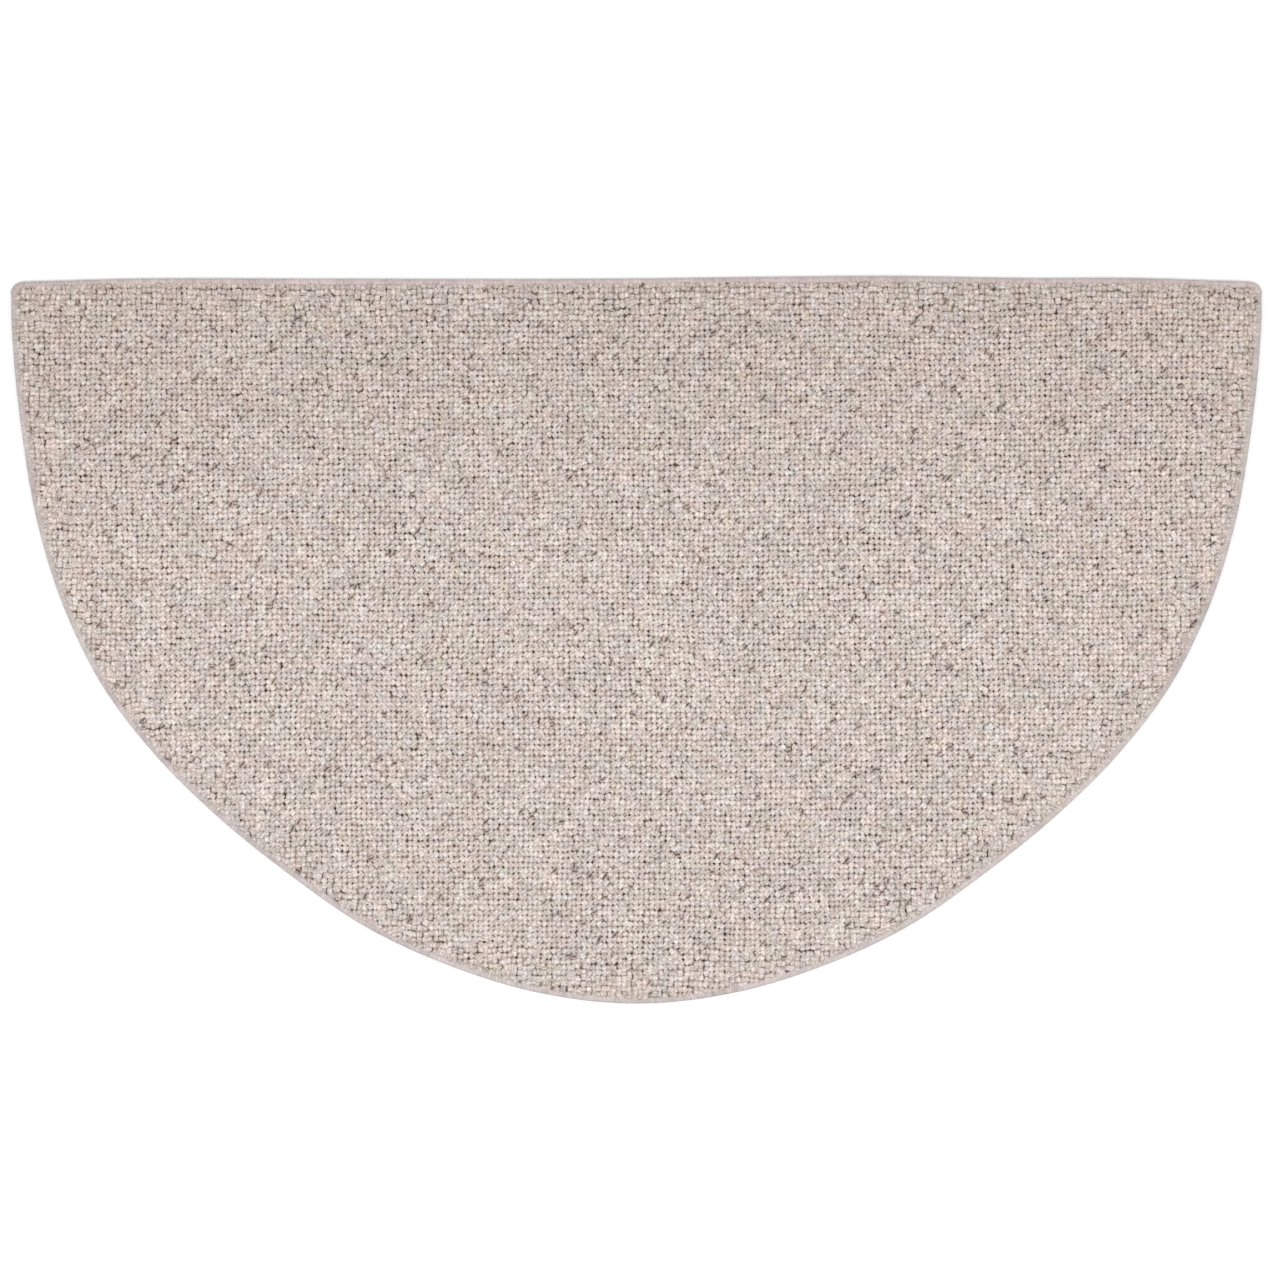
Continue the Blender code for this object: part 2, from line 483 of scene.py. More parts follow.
def grown(name, base, tree, values):
    """What the tree makes of the base mesh, as a plain mesh object."""
    host = bpy.data.objects.new(name, base)
    modifier = host.modifiers.new(name, "NODES")
    modifier.node_group = tree
    for item in tree.interface.items_tree:
        if item.in_out == "INPUT" and item.name in values:
            modifier[item.identifier] = values[item.name]
    bpy.context.scene.collection.objects.link(host)
    depsgraph = bpy.context.evaluated_depsgraph_get()
    made = bpy.data.meshes.new_from_object(
        host.evaluated_get(depsgraph), preserve_all_data_layers=True, depsgraph=depsgraph
    )
    host.modifiers.clear()
    host.data = made
    made.name = name
    return host


def through(table, places):
    """Values at the places, on a smooth cubic through the table's rows."""
    stations, values = np.array(table).T
    slopes = np.gradient(values, stations)
    row = np.clip(np.searchsorted(stations, places) - 1, 0, len(stations) - 2)
    span = stations[row + 1] - stations[row]
    u = (places - stations[row]) / span
    start = (2 * u**3 - 3 * u**2 + 1) * values[row] + (u**3 - 2 * u**2 + u) * span * slopes[row]
    end = (3 * u**2 - 2 * u**3) * values[row + 1] + (u**3 - u**2) * span * slopes[row + 1]
    return start + end


def straight_edge():
    """Points along the straight edge, left to right."""
    half_length = CURVED_EDGE[0][1]
    along = np.linspace(-half_length, half_length, STRAIGHT_STEPS + 1)
    return np.column_stack([along, RUG_DEPTH / 2 - through(STRAIGHT_EDGE, along)])


def curved_edge(right_end, left_end):
    """Points round the curved edge, from the straight edge's right end to its left end."""
    mirrored = tuple((180.0 - angle, reach) for angle, reach in CURVED_EDGE[-2::-1])
    angles = np.linspace(0.0, 180.0, CURVED_STEPS + 1)
    reach = through(CURVED_EDGE + mirrored, angles)
    turn = np.radians(angles)
    points = np.column_stack([reach * np.cos(turn), RUG_DEPTH / 2 - reach * np.sin(turn)])
    points[0] = right_end
    points[-1] = left_end
    return points


def rounded_corner(before, after):
    """A round run from one edge to the next, tangent to both."""
    corner = before[-1]
    arriving = corner - before[-2]
    leaving = after[1] - corner
    start = corner - CORNER_REACH * arriving / np.linalg.norm(arriving)
    end = corner + CORNER_REACH * leaving / np.linalg.norm(leaving)
    u = np.linspace(0.0, 1.0, CORNER_STEPS + 1)[:, None]
    return start * (1 - u) ** 2 + 2 * corner * u * (1 - u) + end * u**2


def clear_of(points, corner):
    """The points further from the corner than its rounding reaches."""
    reach = CORNER_REACH * CORNER_CLEARANCE
    return points[np.linalg.norm(points - corner, axis=1) > reach]


def rug_outline():
    """The rug's closed outline from above, clockwise."""
    straight = straight_edge()
    curved = curved_edge(straight[-1], straight[0])
    right, left = straight[-1], straight[0]
    return np.concatenate(
        [
            clear_of(clear_of(straight, left), right),
            rounded_corner(straight, curved),
            clear_of(clear_of(curved, right), left),
            rounded_corner(curved, straight),
        ]
    )


def set_in(outline, distance):
    """The outline moved inwards, each point square to the edge there."""
    along = np.roll(outline, -1, axis=0) - np.roll(outline, 1, axis=0)
    inwards = np.column_stack([along[:, 1], -along[:, 0]])
    return outline + distance * inwards / np.linalg.norm(inwards, axis=1)[:, None]


OUTLINE = rug_outline()


def cloth(name, roughness, sheen):
    """A new cloth material; returns it, its tree and its shader."""
    material = bpy.data.materials.new(name)
    material.use_nodes = True
    tree = material.node_tree
    shader = tree.nodes["Principled BSDF"]
    shader.inputs["Roughness"].default_value = roughness
    shader.inputs["Specular IOR Level"].default_value = CLOTH_SPECULAR
    shader.inputs["Sheen Weight"].default_value = sheen
    shader.inputs["Sheen Roughness"].default_value = SHEEN_ROUGHNESS
    return material, tree, shader


def object_place(tree):
    """The place on the object, in its own metres."""
    return put(tree, "ShaderNodeTexCoord").outputs["Object"]


def named(tree, name, output="Fac"):
    """What the mesh keeps under a name."""
    return put(tree, "ShaderNodeAttribute", attribute_name=name).outputs[output]


def blended(tree, share, first, second, way="MIX"):
    """Two colours blended by a share."""
    inputs = {0: share, 6: first, 7: second}
    return put(tree, "ShaderNodeMix", inputs, data_type="RGBA", blend_type=way).outputs[2]


def tinted(tree, colour, tint, share=1.0):
    """The colour multiplied by a tint, as far as the share goes."""
    return blended(tree, share, colour, tint, "MULTIPLY")


def ramp(tree, value, stops):
    """A colour for each value, from a row for each stop: place, red, green, blue."""
    node = put(tree, "ShaderNodeValToRGB", {"Fac": value})
    elements = node.color_ramp.elements
    while len(elements) < len(stops):
        elements.new(0.5)
    for element, (place, *colour) in zip(elements, stops):
        element.position = place
        element.color = (*colour, 1.0)
    return node.outputs["Color"]


def raise_relief(tree, shader, height, strength, distance):
    """Gives the surface a fine relief by a height from 0 to 1."""
    inputs = {"Height": height, "Strength": strength, "Distance": distance}
    fill(tree, shader.inputs["Normal"], put(tree, "ShaderNodeBump", inputs).outputs[0])


def hollow_light(tree, place):
    """How light the painted shade in each hollow between loops is, from 0 to 1: its own, but in
    loose groups.
    """
    level = flattened(tree, place)
    each = noise(tree, level, *HOLLOW_NOISE)["Fac"]
    group = noise(tree, level, *HOLLOW_GROUP_NOISE)["Fac"]
    grouped = reckon(tree, "SUBTRACT", group, 0.5)
    both = reckon(tree, "MULTIPLY_ADD", grouped, HOLLOW_GROUPING, each)
    return ranged(tree, both, *HOLLOW_LIGHT)


def plies(tree, own, place, shade):
    """How light the twisted plies are across a loop, from 0 to 1, and the slant across them."""
    x, y, _ = parts(tree, own)
    slant = reckon(tree, "MULTIPLY_ADD", x, -TWIST_SLANT, y)
    wander = reckon(tree, "MULTIPLY", noise(tree, place, *TWIST_NOISE)["Fac"], TWIST_WANDER)
    phase = reckon(tree, "MULTIPLY_ADD", slant, TWIST, wander)
    phase = reckon(tree, "MULTIPLY_ADD", shade, TWIST_SHIFT, phase)
    ply = reckon(tree, "MULTIPLY_ADD", reckon(tree, "SINE", phase), 0.5, 0.5)
    length = reckon(tree, "MULTIPLY_ADD", y, TWIST_SLANT, x)
    swell = reckon(tree, "MULTIPLY", shade, SWELL_SHIFT)
    swell = reckon(tree, "SINE", reckon(tree, "MULTIPLY_ADD", length, SWELL, swell))
    swell = reckon(tree, "MULTIPLY_ADD", swell, SWELL_STRENGTH, SWELL_MEAN)
    return reckon(tree, "MULTIPLY", ply, swell), slant


def with_fleck(tree, colour, own, slant, shade, other):
    """The colour with a dark ply on the few loops that have one."""
    stripe = ranged(tree, reckon(tree, "ABSOLUTE", slant), *FLECK_WIDTH)
    level = flattened(tree, own)
    reach = put(tree, "ShaderNodeVectorMath", {0: level}, operation="LENGTH").outputs["Value"]
    reach = reckon(tree, "MULTIPLY", reach, reckon(tree, "MULTIPLY_ADD", other, *FLECK_SHORTENING))
    stripe = reckon(tree, "MULTIPLY", stripe, ranged(tree, reach, *FLECK_LENGTH))
    flecked = reckon(tree, "MULTIPLY", stripe, reckon(tree, "LESS_THAN", shade, FLECK_SHARE))
    fleck = blended(tree, reckon(tree, "DIVIDE", shade, FLECK_SHARE), FLECK_DARK, FLECK_RUSSET)
    return blended(tree, flecked, colour, fleck)


def in_patches(tree, colour, place):
    """The colour in soft patches: lilac to warm, green to pink, and lighter to darker, with painted
    shade on the loops near the rim.
    """
    patch = ranged(tree, noise(tree, place, *PATCH_NOISE)["Fac"], *PATCH_EDGES)
    colour = tinted(tree, colour, blended(tree, patch, LILAC, WARM))
    blush = noise(tree, place, *BLUSH_NOISE)["Color"]
    blush = put(tree, "ShaderNodeSeparateColor", {0: blush}).outputs["Green"]
    blush = ranged(tree, blush, *PATCH_EDGES)
    colour = tinted(tree, colour, blended(tree, blush, GREEN, PINK))
    cloud = ranged(tree, noise(tree, place, *CLOUD_NOISE)["Fac"], *CLOUD_LIGHT)
    light = reckon(tree, "MULTIPLY", cloud, named(tree, "rim_light"))
    return scaled(tree, colour, light)


def pile_yarn():
    """Heathered loop yarn: two plies of different shades, in soft patches of tone, with painted
    shade in the hollows and towards the edges and a painted highlight on each crown.
    """
    material, tree, shader = cloth("pile_yarn", *PILE_DULLNESS)
    place = object_place(tree)
    own = named(tree, "loop_place", "Vector")
    shade = named(tree, "shade")
    other = reckon(tree, "FRACT", reckon(tree, "MULTIPLY", shade, SECOND_DRAW))
    ply, slant = plies(tree, own, place, shade)
    second = reckon(tree, "MULTIPLY", ply, SECOND_SHARE)
    colour = blended(tree, second, ramp(tree, shade, YARN_SHADES), ramp(tree, other, YARN_SHADES))
    # Painted light and shade along the twisted plies, partly their own light and dark.
    colour = tinted(tree, colour, blended(tree, ply, PLY_SHADED, PLY_LIT))
    colour = with_fleck(tree, colour, own, slant, shade, other)
    colour = in_patches(tree, colour, place)
    x, y, _ = parts(tree, place)
    # Painted shade towards the straight edge, the curved edge and both sides.
    colour = tinted(tree, colour, FAR_SIDE_SHADE, ranged(tree, y, *FAR_SIDE))
    colour = tinted(tree, colour, NEAR_SIDE_SHADE, ranged(tree, y, *NEAR_SIDE))
    aside = ranged(tree, reckon(tree, "ABSOLUTE", x), *ASIDE)
    colour = tinted(tree, colour, ASIDE_SHADE, aside)
    # Painted shade deep in the hollows between loops, darker further down.
    rise = parts(tree, own)[2]
    shadow = blended(tree, hollow_light(tree, place), DARKEST_HOLLOW_SHADE, LIGHTEST_HOLLOW_SHADE)
    colour = tinted(tree, colour, shadow, ranged(tree, rise, *HOLLOW_SHADE_DEPTH))
    # Painted highlight on each loop's crown.
    colour = tinted(tree, colour, CROWN_HIGHLIGHT, ranged(tree, rise, *CROWN))
    fill(tree, shader.inputs["Base Color"], colour)
    fibre = noise(tree, place, *PILE_FIBRE_NOISE)["Fac"]
    height = reckon(tree, "MULTIPLY_ADD", fibre, PILE_FIBRE_SHARE, ply)
    raise_relief(tree, shader, height, *PILE_RELIEF)
    return material


def serging_yarn():
    """Smooth wound yarn, its fibres along each turn, its tone wandering round the rug, with painted
    shade on its flank and painted light and shade round the rug.
    """
    material, tree, shader = cloth("serging_yarn", *SERGING_DULLNESS)
    place = object_place(tree)
    x, y, z = parts(tree, place)
    shade = named(tree, "shade")
    wander = reckon(tree, "MULTIPLY", noise(tree, place, *SERGING_NOISE)["Fac"], SERGING_WANDER)
    tone = reckon(tree, "MULTIPLY_ADD", shade, TURN_WANDER, wander)
    colour = blended(tree, tone, SERGING_DARK, SERGING_LIGHT)
    blush = ranged(tree, noise(tree, place, *SERGING_BLUSH_NOISE)["Fac"], *PATCH_EDGES)
    colour = tinted(tree, colour, blended(tree, blush, MAUVE, BEIGE))
    curved = ranged(tree, y, *CURVED_SIDE)
    # Painted shade on the flank, deepest on the curved edge.
    flank_shade = blended(tree, curved, FLANK_SHADE, CURVED_FLANK_SHADE)
    colour = tinted(tree, colour, flank_shade, ranged(tree, z, *FLANK))
    colour = tinted(tree, colour, STRAIGHT_SIDE_TONE, ranged(tree, y, *STRAIGHT_SIDE))
    # Painted light: lighter along the curved edge, darker towards both ends.
    light = ranged(tree, reckon(tree, "ABSOLUTE", x), *END_LIGHT)
    curved_light = reckon(tree, "MULTIPLY_ADD", curved, CURVED_SIDE_LIGHT, 1.0)
    light = reckon(tree, "MULTIPLY", light, curved_light)
    mottle = ranged(tree, noise(tree, place, *MOTTLE_NOISE)["Fac"], *MOTTLE_LIGHT)
    colour = scaled(tree, colour, reckon(tree, "MULTIPLY", light, mottle))
    fill(tree, shader.inputs["Base Color"], colour)
    own = named(tree, "wrap_place", "Vector")
    stretched = vector_reckon(tree, "MULTIPLY", own, SERGING_FIBRE_STRETCH)
    shift = joined(tree, reckon(tree, "MULTIPLY", shade, SERGING_FIBRE_SHIFT))
    shifted = vector_reckon(tree, "ADD", stretched, shift)
    fibre = noise(tree, shifted, *SERGING_FIBRE_NOISE)["Fac"]
    raise_relief(tree, shader, fibre, *SERGING_RELIEF)
    return material


def pile_ground():
    """The pile's ground between the loops: dark, in painted shadow that is lighter in some hollows.
    """
    material, tree, shader = cloth("pile_ground", *GROUND_DULLNESS)
    light = hollow_light(tree, object_place(tree))
    # Painted shadow on the ground, lighter in some hollows than in others.
    fill(tree, shader.inputs["Base Color"], blended(tree, light, DARKEST_GROUND_SHADE, LIGHTEST_GROUND_SHADE))
    return material


def woven_backing():
    """The underside: an open jute-coloured scrim bonded over pale latex."""
    material, tree, shader = cloth("woven_backing", *SCRIM_DULLNESS)
    waves = [
        reckon(tree, "SINE", reckon(tree, "MULTIPLY", way, 2 * math.pi / spacing))
        for way, spacing in zip(parts(tree, object_place(tree)), SCRIM_SPACING)
    ]
    thread = ranged(tree, reckon(tree, "MAXIMUM", *waves), *SCRIM_THREAD)
    fill(tree, shader.inputs["Base Color"], blended(tree, thread, LATEX, JUTE))
    raise_relief(tree, shader, thread, *SCRIM_RELIEF)
    return material


def mesh_of(name, points, faces):
    """A new mesh of the points and faces."""
    mesh = bpy.data.meshes.new(name)
    mesh.from_pydata([tuple(map(float, p)) for p in points], [], faces)
    mesh.update()
    return mesh


def keep_places(mesh, name, values):
    """Keeps a vector on each point, under a name that the materials read."""
    kept = mesh.attributes.new(name, "FLOAT_VECTOR", "POINT")
    kept.data.foreach_set("vector", np.asarray(values, np.float32).ravel())


def keep_map(mesh, places):
    """Lays a map out from one place in the unit square for each face corner."""
    layer = mesh.uv_layers.new(name="OFBake")
    layer.uv.foreach_set("vector", np.asarray(places, np.float32).ravel())


def shown(name, data):
    """A new object of the given data, linked to the scene."""
    item = bpy.data.objects.new(name, data)
    bpy.context.scene.collection.objects.link(item)
    return item


def loop_rings():
    """A loop's foot, shoulder and top from above, each with its height and its map's reach."""
    (wide, cut_y, high), (cut_x, long, _) = LOOP_SHOULDER
    (top_x, top_high), (top_y, _) = LOOP_TOP
    foot_x, foot_y, foot_z = LOOP_FOOT
    foot = [(foot_x, foot_y), (-foot_x, foot_y), (-foot_x, -foot_y), (foot_x, -foot_y)]
    shoulder = [
        (wide, cut_y),
        (cut_x, long),
        (-cut_x, long),
        (-wide, cut_y),
        (-wide, -cut_y),
        (-cut_x, -long),
        (cut_x, -long),
        (wide, -cut_y),
    ]
    top = [(top_x, 0.0), (0.0, top_y), (-top_x, 0.0), (0.0, -top_y)]
    return zip((foot, shoulder, top), (foot_z, high, top_high), LOOP_MAP_REACH)


def one_loop():
    """One loop of pile, foot down and crown up, with its own map in a unit square."""
    points, flat, starts = [], [], []
    for ring, rise, out in loop_rings():
        starts.append(len(points))
        for x, y in ring:
            angle = math.atan2(y, x)
            points.append((x, y, rise))
            flat.append((0.5 + out * math.cos(angle), 0.5 + out * math.sin(angle)))
    points.append((0.0, 0.0, LOOP_HEIGHT))
    flat.append((0.5, 0.5))
    crown = len(points) - 1
    foot, shoulder, top = starts
    faces = []
    for k in range(4):
        after = (k + 1) % 4
        near = shoulder + 2 * k
        far = near + 1
        next_near = shoulder + 2 * after
        faces.append((foot + k, far, near))
        faces.append((foot + k, foot + after, next_near, far))
        faces.append((near, far, top + after, top + k))
        faces.append((far, next_near, top + after))
        faces.append((top + k, top + after, crown))
    mesh = mesh_of("one_loop", points, faces)
    mesh.shade_smooth()
    keep_places(mesh, "loop_place", points)
    keep_map(mesh, [flat[corner.vertex_index] for corner in mesh.loops])
    return mesh


def wrap_faces(rows, turn):
    """The faces of one turn of yarn, its ends closed, and each face corner's place on its map."""
    faces, corners = [], []
    left, across = WRAP_MAP_ACROSS
    low, along = WRAP_MAP_ALONG
    for k in range(rows):
        for side in range(WRAP_SIDES):
            after = (side + 1) % WRAP_SIDES
            a, b = k * WRAP_SIDES + side, k * WRAP_SIDES + after
            faces.append((a, b, b + WRAP_SIDES, a + WRAP_SIDES))
            start, end = low + along * k / rows, low + along * (k + 1) / rows
            near, far = left + across * side / WRAP_SIDES, left + across * (side + 1) / WRAP_SIDES
            corners += [(near, start), (far, start), (far, end), (near, end)]
    first_end = tuple(range(WRAP_SIDES))[::-1]
    last_end = tuple(rows * WRAP_SIDES + side for side in range(WRAP_SIDES))
    for end, (x, y) in zip((first_end, last_end), WRAP_MAP_ENDS):
        faces.append(end)
        reach = WRAP_MAP_END_REACH
        corners += [(x + reach * math.cos(angle), y + reach * math.sin(angle)) for angle in turn]
    return faces, corners


def one_wrap():
    """One turn of serging yarn over the edge, X inwards from the rim and Y along it."""
    path = np.array(WRAP_PATH)
    along = np.gradient(path, axis=0)
    along /= np.linalg.norm(along, axis=1)[:, None]
    out = np.column_stack([along[:, 1], -along[:, 0]])
    slant = np.linspace(0.5, -0.5, len(path)) * WRAP_PITCH
    turn = np.arange(WRAP_SIDES) * 2 * math.pi / WRAP_SIDES + math.pi / 2
    run = np.concatenate([[0.0], np.cumsum(np.linalg.norm(np.diff(path, axis=0), axis=1))])
    points, own = [], []
    for k, middle in enumerate(path):
        for angle in turn:
            lift = WRAP_HALF_THICKNESS * math.sin(angle)
            x, z = middle + lift * out[k]
            points.append((x, slant[k] + WRAP_HALF_WIDTH * math.cos(angle), z))
            own.append((math.cos(angle), run[k] * MILLIMETRES, math.sin(angle)))
    faces, corners = wrap_faces(len(path) - 1, turn)
    mesh = mesh_of("one_wrap", points, faces)
    mesh.shade_smooth()
    keep_places(mesh, "wrap_place", own)
    keep_map(mesh, corners)
    return mesh


def spread_maps(item, faces_each):
    """Gives each repeat on a piece its own cell of the map."""
    layer = item.data.uv_layers["OFBake"]
    places = np.empty(len(layer.uv) * 2, np.float32)
    layer.uv.foreach_get("vector", places)
    places = places.reshape(-1, 2)
    corner_counts = np.empty(len(item.data.polygons), np.int32)
    item.data.polygons.foreach_get("loop_total", corner_counts)
    repeat = np.repeat(np.arange(len(corner_counts)) // faces_each, corner_counts)
    side = math.ceil(math.sqrt(repeat.max() + 1))
    cell = np.column_stack([repeat % side, repeat // side])
    layer.uv.foreach_set("vector", ((places + cell) / side).astype(np.float32).ravel())


def rows_in_band(tree, given, place):
    """The points of the pile's rows from the band's near side to its far side."""
    wide = reckon(tree, "MULTIPLY", given["Gauge"], reckon(tree, "SUBTRACT", given["Columns"], 1.0))
    deep = reckon(tree, "MULTIPLY", given["Stitch"], reckon(tree, "SUBTRACT", given["Rows"], 1.0))
    inputs = {
        "Size X": wide,
        "Size Y": deep,
        "Vertices X": given["Columns"],
        "Vertices Y": given["Rows"],
    }
    grid = put(tree, "GeometryNodeMeshGrid", inputs).outputs[0]
    depth = parts(tree, place)[1]
    line = reckon(tree, "SUBTRACT", given["Far"], ON_THE_LINE)
    too_near = reckon(tree, "LESS_THAN", depth, given["Near"])
    too_far = reckon(tree, "GREATER_THAN", depth, line)
    return without(tree, grid, reckon(tree, "MAXIMUM", too_near, too_far))


def loosened(tree, given, points, place, rim):
    """The rows' points shifted a little, kept inside the rim and raised to the loops' base."""
    astray = ranged(tree, rim.outputs["Distance"], *ASTRAY)
    scale, straight_ripple = ROW_RIPPLE
    ripple = reckon(tree, "MULTIPLY_ADD", astray, ASTRAY_RIPPLE, straight_ripple)
    shift = vector_reckon(
        tree, "ADD", drift(tree, place, *ROW_BOW), drift(tree, place, scale, ripple)
    )
    jitter = drawn_either_way(tree, LOOP_JITTER, given["Seed"])
    shift = vector_reckon(tree, "ADD", shift, jitter)
    points = moved(tree, points, flattened(tree, shift))
    ray = {
        "Target Geometry": given["Geometry"],
        "Source Position": vector_reckon(tree, "ADD", place, (0.0, 0.0, LOOK_DOWN_FROM)),
        "Ray Direction": (0.0, 0.0, -1.0),
    }
    inside = put(tree, "GeometryNodeRaycast", ray).outputs["Is Hit"]
    points = without(tree, points, reckon(tree, "SUBTRACT", 1.0, inside))
    short = reckon(tree, "SUBTRACT", given["Crowding"], rim.outputs["Distance"])
    short = reckon(tree, "MAXIMUM", short, 0.0)
    away = vector_reckon(tree, "SUBTRACT", place, rim.outputs["Position"])
    away = scaled(tree, vector_reckon(tree, "NORMALIZE", away), short)
    points = moved(tree, points, away)
    return moved(tree, points, joined(tree, z=given["Foot"]))


def loop_turns(tree, given, place, shade, inwards):
    """How each loop is turned: it leans a little, runs one way or the other, or lies astray."""
    lean = drawn_either_way(tree, LOOP_LEAN, further_seed(tree, given, LEAN_SEED))
    draw = drawn_number(tree, 0.0, 1.0, further_seed(tree, given, CROSSWISE_SEED))
    crosswise = reckon(tree, "GREATER_THAN", draw, LENGTHWISE_SHARE)
    flecked = reckon(tree, "LESS_THAN", shade, FLECK_SHARE)
    crosswise = reckon(tree, "MULTIPLY", crosswise, reckon(tree, "SUBTRACT", 1.0, flecked))
    seed = further_seed(tree, given, ASTRAY_SEED)
    stray = drawn_number(tree, -ASTRAY_TURN, ASTRAY_TURN, seed)
    flecked_astray = reckon(tree, "MULTIPLY", flecked, FLECKED_ASTRAY)
    loose = reckon(tree, "MAXIMUM", ranged(tree, inwards, *ASTRAY), flecked_astray)
    stray = reckon(tree, "MULTIPLY", stray, loose)
    spin = reckon(tree, "MULTIPLY_ADD", crosswise, math.pi / 2, stray)
    turn = vector_reckon(tree, "ADD", drift(tree, place, *PILE_LAY), lean)
    return vector_reckon(tree, "ADD", turn, joined(tree, z=spin))


def loop_sizes(tree, given, place, inwards):
    """How large each loop is: in patches, by its own draw, and lower where the rim is pressed."""
    fullness = parts(tree, drift(tree, place, *FULLNESS))[0]
    fullness = reckon(tree, "ADD", fullness, MEAN_FULLNESS)
    spread = drawn_vector(tree, *LOOP_SIZES, further_seed(tree, given, LOOP_SIZE_SEED))
    pressed = joined(tree, 1.0, 1.0, ranged(tree, inwards, *PRESSED))
    return vector_reckon(tree, "MULTIPLY", scaled(tree, spread, fullness), pressed)


def pile_tree():
    """Rows of loops over the pile's ground, straighter in the middle than at the rim."""
    tree, given = new_tree(
        "rows_of_loops",
        (
            ("Loop", "Object"),
            ("Gauge", "Float"),
            ("Stitch", "Float"),
            ("Columns", "Int"),
            ("Rows", "Int"),
            ("Near", "Float"),
            ("Far", "Float"),
            ("Crowding", "Float"),
            ("Foot", "Float"),
            ("Seed", "Int"),
            ("Yarn", "Material"),
        ),
    )
    place = put(tree, "GeometryNodeInputPosition").outputs[0]
    rim = put(tree, "GeometryNodeProximity", {0: given["Geometry"]}, target_element="EDGES")
    inwards = rim.outputs["Distance"]
    points = loosened(tree, given, rows_in_band(tree, given, place), place, rim)
    shade = drawn_number(tree, 0.0, 1.0, further_seed(tree, given, LOOP_SHADE_SEED))
    inputs = {
        "Points": points,
        "Instance": shape_of(tree, given["Loop"]),
        "Rotation": loop_turns(tree, given, place, shade, inwards),
        "Scale": loop_sizes(tree, given, place, inwards),
    }
    loops = put(tree, "GeometryNodeInstanceOnPoints", inputs).outputs[0]
    loops = keep_number(tree, loops, "shade", shade)
    # Painted shade on the loops near the rim.
    loops = keep_number(tree, loops, "rim_light", ranged(tree, inwards, *RIM_LIGHT))
    end_tree(tree, loops, given["Yarn"], drift(tree, place, *YARN_LUMPS, detail=0.0))
    return tree


def serging_tree():
    """Turns of yarn side by side along the rim, each wound square over the edge."""
    tree, given = new_tree(
        "turns_along_the_rim",
        (
            ("Wrap", "Object"),
            ("Rim", "Object"),
            ("Pitch", "Float"),
            ("Seed", "Int"),
            ("Yarn", "Material"),
        ),
    )
    inputs = {"Curve": shape_of(tree, given["Rim"]), "Length": given["Pitch"]}
    along = put(tree, "GeometryNodeCurveToPoints", inputs, mode="LENGTH")
    x, y, _ = parts(tree, along.outputs["Tangent"])
    inwards = joined(tree, y, reckon(tree, "MULTIPLY", x, -1.0))
    square = put(
        tree,
        "FunctionNodeAlignRotationToVector",
        {"Vector": inwards},
        axis="X",
        pivot_axis="Z",
    ).outputs[0]
    nudge = drawn_either_way(tree, WRAP_NUDGE, given["Seed"])
    turn = put(
        tree,
        "FunctionNodeRotateRotation",
        {"Rotation": square, "Rotate By": nudge},
        rotation_space="LOCAL",
    ).outputs[0]
    place = put(tree, "GeometryNodeInputPosition").outputs[0]
    reach = reckon(tree, "ADD", parts(tree, drift(tree, place, *WRAP_REACH))[0], 1.0)
    size = drawn_either_way(tree, WRAP_SIZES, further_seed(tree, given, WRAP_SIZE_SEED))
    inputs = {
        "Points": along.outputs["Points"],
        "Instance": shape_of(tree, given["Wrap"]),
        "Rotation": turn,
        "Scale": vector_reckon(tree, "ADD", joined(tree, reach, 1.0, 1.0), size),
    }
    wraps = put(tree, "GeometryNodeInstanceOnPoints", inputs).outputs[0]
    shade = drawn_number(tree, 0.0, 1.0, further_seed(tree, given, WRAP_SHADE_SEED))
    wraps = keep_number(tree, wraps, "shade", shade)
    end_tree(tree, wraps, given["Yarn"])
    return tree


def make_pile(yarn):
    """All the loops, band by band."""
    loop_mesh = one_loop()
    loop = shown("one_loop", loop_mesh)
    field = set_in(OUTLINE, PILE_RIM)
    level = np.column_stack([field, np.zeros(len(field))])
    ground = mesh_of("pile_field", level, [range(len(field))[::-1]])
    tree = pile_tree()
    bands = []
    for number, (near, far) in enumerate(zip(BAND_DEPTHS, BAND_DEPTHS[1:]), 1):
        band = grown(
            f"pile_{number}",
            ground,
            tree,
            {
                "Loop": loop,
                "Gauge": NEEDLE_GAUGE,
                "Stitch": STITCH,
                "Columns": LOOP_COLUMNS,
                "Rows": LOOP_ROWS,
                "Near": RUG_DEPTH / 2 - far,
                "Far": RUG_DEPTH / 2 - near,
                "Crowding": RIM_CROWDING,
                "Foot": LOOP_BASE,
                "Seed": BAND_SEEDS * number,
                "Yarn": yarn,
            },
        )
        spread_maps(band, len(loop_mesh.polygons))
        bands.append(band)
    bpy.data.objects.remove(loop, do_unlink=True)
    return bands


def make_serging(yarn):
    """The overcast edge."""
    wrap_mesh = one_wrap()
    wrap = shown("one_wrap", wrap_mesh)
    curve = bpy.data.curves.new("rim", "CURVE")
    curve.dimensions = "3D"
    spline = curve.splines.new("POLY")
    spline.points.add(len(OUTLINE) - 1)
    for knot, (x, y) in zip(spline.points, OUTLINE):
        knot.co = (x, y, 0.0, 1.0)
    spline.use_cyclic_u = True
    rim = shown("rim", curve)
    serging = grown(
        "serging_wraps",
        mesh_of("serging_base", [(0.0, 0.0, 0.0)], []),
        serging_tree(),
        {"Wrap": wrap, "Rim": rim, "Pitch": WRAP_PITCH, "Seed": WRAP_SEED, "Yarn": yarn},
    )
    spread_maps(serging, len(wrap_mesh.polygons))
    bpy.data.objects.remove(wrap, do_unlink=True)
    bpy.data.objects.remove(rim, do_unlink=True)
    return serging


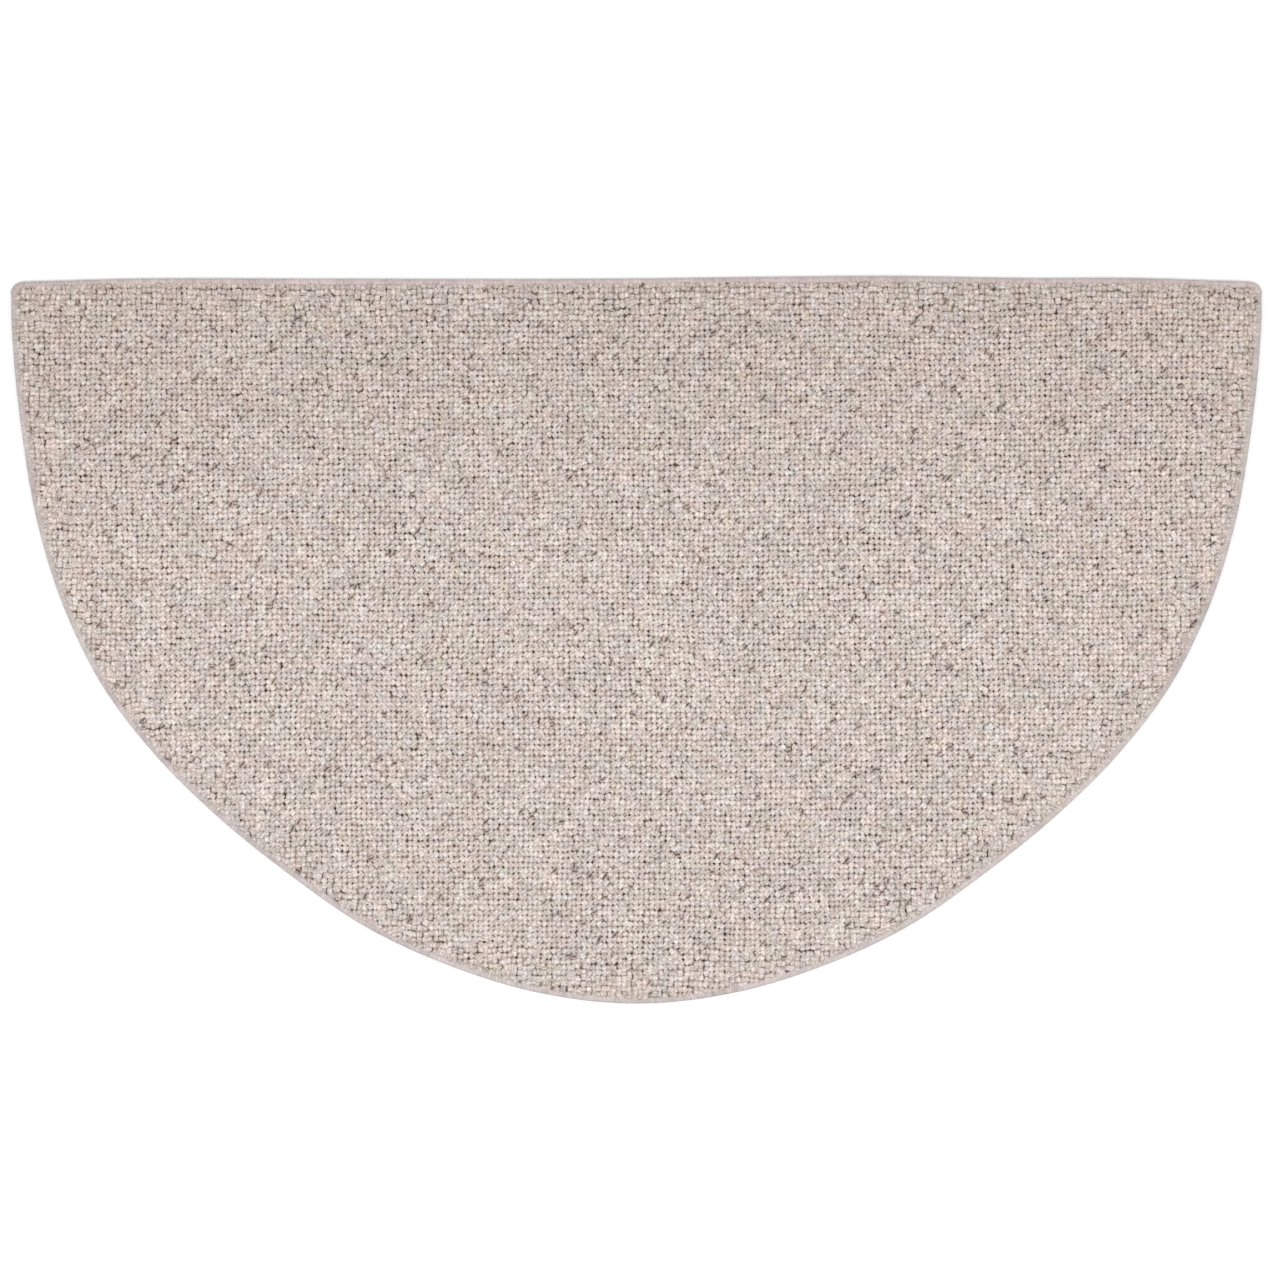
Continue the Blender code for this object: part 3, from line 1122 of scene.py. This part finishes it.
def make_backing(ground, weave):
    """The backing that the loops stand on, thin under the serging, woven underneath."""
    middle = np.array(BACKING_MIDDLE)
    rows = [(set_in(OUTLINE, inwards), height) for inwards, height in BACKING_ROWS]
    (top, top_height), (under, under_height) = rows[0], rows[-1]
    top_rings = [(middle + share * (top - middle), top_height) for share in BACKING_RINGS]
    under_rings = [(middle + share * (under - middle), under_height) for share in BACKING_RINGS]
    rows = [*top_rings[::-1], *rows, *under_rings]
    points, faces = [], []
    for row, height in rows:
        points += [(x, y, height) for x, y in row]
    points += [(*BACKING_MIDDLE, top_height), (*BACKING_MIDDLE, under_height)]
    top_middle, under_middle = len(points) - 2, len(points) - 1
    count = len(OUTLINE)
    last = (len(rows) - 1) * count
    for k in range(count):
        after = (k + 1) % count
        for row in range(0, last, count):
            faces.append((row + k, row + count + k, row + count + after, row + after))
        faces.append((top_middle, k, after))
        faces.append((under_middle, last + after, last + k))
    mesh = mesh_of("backing", points, faces)
    bm = bmesh.new()
    bm.from_mesh(mesh)
    bmesh.ops.recalc_face_normals(bm, faces=bm.faces)
    bm.to_mesh(mesh)
    bm.free()
    mesh.materials.append(ground)
    mesh.materials.append(weave)
    for polygon in mesh.polygons:
        polygon.material_index = 1 if polygon.normal.z < FACING_DOWN else 0
    return shown("backing", mesh)


def make_camera():
    """Straight above, framed as the photograph is."""
    camera = shown("camera", bpy.data.cameras.new("camera"))
    camera.data.lens = CAMERA_LENS
    camera.data.sensor_width = CAMERA_SENSOR
    side = FRAME_SIDE * METRES_PER_PIXEL
    middle = FRAME_SIDE / 2
    pile_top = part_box("carpet")[1].z
    camera.location = (
        (middle - (RUG_LEFT + RUG_RIGHT) / 2) * METRES_PER_PIXEL,
        RUG_DEPTH / 2 - (middle - RUG_TOP) * METRES_PER_PIXEL,
        pile_top + side * CAMERA_LENS / CAMERA_SENSOR,
    )
    bpy.context.scene.camera = camera


def soft_lamp(name, place):
    """A round lamp that faces the rug's middle."""
    light = bpy.data.lights.new(name, "AREA")
    light.shape = "DISK"
    light.size = LAMP_SIZE
    light.energy = LAMP_POWER
    lamp = shown(name, light)
    lamp.location = place
    lamp.rotation_euler = (-lamp.location).to_track_quat("-Z", "Y").to_euler()


def make_floor():
    """A pale floor a hair under the rug."""
    reach = FLOOR_REACH
    corners = [(-reach, -reach), (reach, -reach), (reach, reach), (-reach, reach)]
    points = [(x, y, FLOOR_HEIGHT) for x, y in corners]
    floor = shown("floor", mesh_of("floor", points, [(0, 1, 2, 3)]))
    material = bpy.data.materials.new("pale_floor")
    material.use_nodes = True
    shader = material.node_tree.nodes["Principled BSDF"]
    shader.inputs["Base Color"].default_value = FLOOR_COLOUR
    shader.inputs["Roughness"].default_value = FLOOR_ROUGHNESS
    shader.inputs["Specular IOR Level"].default_value = FLOOR_SPECULAR
    floor.data.materials.append(material)


def make_studio():
    """A pale floor, a pale sky all round and two soft lamps."""
    bpy.context.scene.view_settings.view_transform = "Standard"
    world = bpy.data.worlds.new("studio")
    world.use_nodes = True
    sky = world.node_tree.nodes["Background"]
    sky.inputs["Color"].default_value = WHITE
    sky.inputs["Strength"].default_value = SKY_STRENGTH
    bpy.context.scene.world = world
    for name, place in LAMPS:
        soft_lamp(name, place)
    make_floor()


make_camera()
make_studio()
bands = make_pile(pile_yarn())
serging = make_serging(serging_yarn())
backing = make_backing(pile_ground(), woven_backing())

for piece in [*bands, serging, backing]:
    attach(piece, "root")
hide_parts("carpet")
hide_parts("serging")
